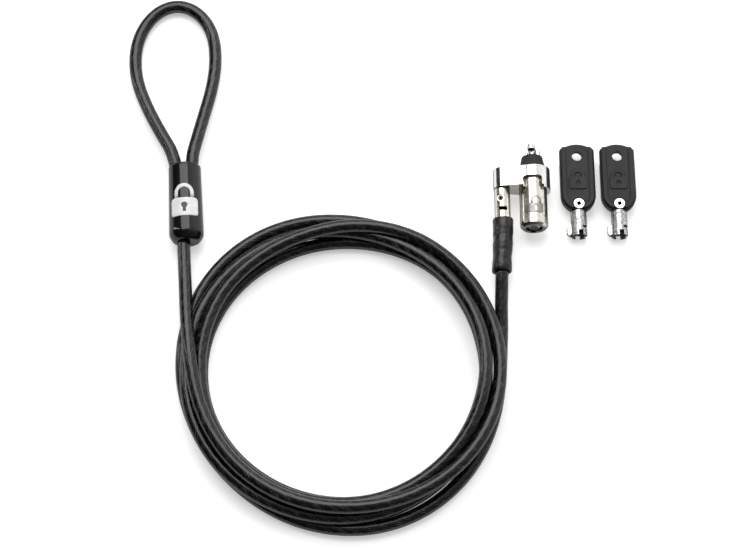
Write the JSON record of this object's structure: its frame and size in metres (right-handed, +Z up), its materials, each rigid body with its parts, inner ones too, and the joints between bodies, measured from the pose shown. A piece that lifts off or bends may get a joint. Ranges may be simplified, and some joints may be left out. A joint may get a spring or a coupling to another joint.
{
  "type": "laptop cable lock",
  "caption": "Keyed laptop cable lock: lock head on a swivel bracket, coiled steel cable in black vinyl with a looped end under a sleeve, and tubular keys.",
  "frame": {"origin": "middle of the footprint of the lock head and keys, on the surface they lie on", "axes": "+Z up; +Y the way the lock's nose points; +X from the lock head to the keys; the cable's coil lies at -X -Y and its loop at -X +Y"},
  "size_m": [0.187, 0.2056, 0.0141],
  "materials": {
    "cable_jacket": "glossy black vinyl over wire rope, with the rope strands showing through",
    "sleeve_vinyl": "high gloss black moulded vinyl",
    "ferrule_aluminium": "crimped",
    "wire_rope": "stranded wire",
    "shrink_tube": "satin black polyolefin",
    "nickel": "polished nickel plate",
    "bracket_chrome": "polished bright plate",
    "pin_steel": "ground",
    "bumper_rubber": "matte",
    "brass": "turned",
    "spring_steel": "drawn wire",
    "plug_steel": "turned, plated",
    "bow_plastic": "fine matte black",
    "shank_steel": "worn satin plate",
    "screw_nickel": "polished"
  },
  "bodies": {
    "root": {"cable_coil": "cable_jacket", "cable_lead": "cable_jacket", "cable_tail": "cable_jacket", "cable_loop": "cable_jacket", "loop_sleeve": "sleeve_vinyl", "loop_ferrule": "ferrule_aluminium", "loop_rope": "wire_rope", "heat_shrink": "shrink_tube", "cable_terminal": "nickel", "terminal_roll_pin": "pin_steel", "cable_end_ferrule": "wire_rope", "swivel_stud": "pin_steel"},
    "bracket": {"swivel_bracket": "bracket_chrome"},
    "barrel": {"lock_housing": "nickel", "bracket_clip": "pin_steel", "nose_bumper": "bumper_rubber", "pin_stator": "brass", "stator_pin": "pin_steel", "pin_springs": "spring_steel"},
    "plug": {"lock_plug": "plug_steel", "t_bar": "plug_steel", "drive_pin": "pin_steel"},
    "drivers": {"driver_pins": "brass"},
    "plug_pins": {"key_pins": "brass"},
    "key_1": {"key_1_bow": "bow_plastic", "key_1_shank": "shank_steel", "key_1_screw": "screw_nickel"},
    "key_2": {"key_2_bow": "bow_plastic", "key_2_shank": "shank_steel", "key_2_screw": "screw_nickel"}
  },
  "joints": [
    {"name": "bracket_swivel", "type": "hinge", "parent": "root", "child": "bracket", "pos_m": [-0.0225, 0.0107, 0.0063], "axis": [0, -1, 0], "continuous": true},
    {"name": "barrel_swivel", "type": "hinge", "parent": "bracket", "child": "barrel", "pos_m": [-0.01125, 0.0107, 0.0063], "axis": [0, 1, 0], "continuous": true},
    {"name": "plug_turn", "type": "hinge", "parent": "barrel", "child": "plug", "pos_m": [-0.01125, 0, 0.0063], "axis": [0, 1, 0], "range_deg": [0, 90]},
    {"name": "driver_pin_slide", "type": "slide", "parent": "barrel", "child": "drivers", "axis": [0, 1, 0], "range_m": [-0.0012, 0.0008], "stiffness_N_per_m": 20, "deforming": ["pin_springs"]},
    {"name": "key_pin_slide", "type": "slide", "parent": "plug", "child": "plug_pins", "axis": [0, 1, 0], "range_m": [-0.0012, 0.0008]},
    {"name": "key_1_lift", "type": "slide", "parent": "root", "child": "key_1", "axis": [0, 0, 1], "range_m": [0, 0.04]},
    {"name": "key_2_lift", "type": "slide", "parent": "root", "child": "key_2", "axis": [0, 0, 1], "range_m": [0, 0.04]}
  ],
  "couplings": [
    {"joint": "key_pin_slide", "follows": "driver_pin_slide", "ratio": 1}
  ]
}
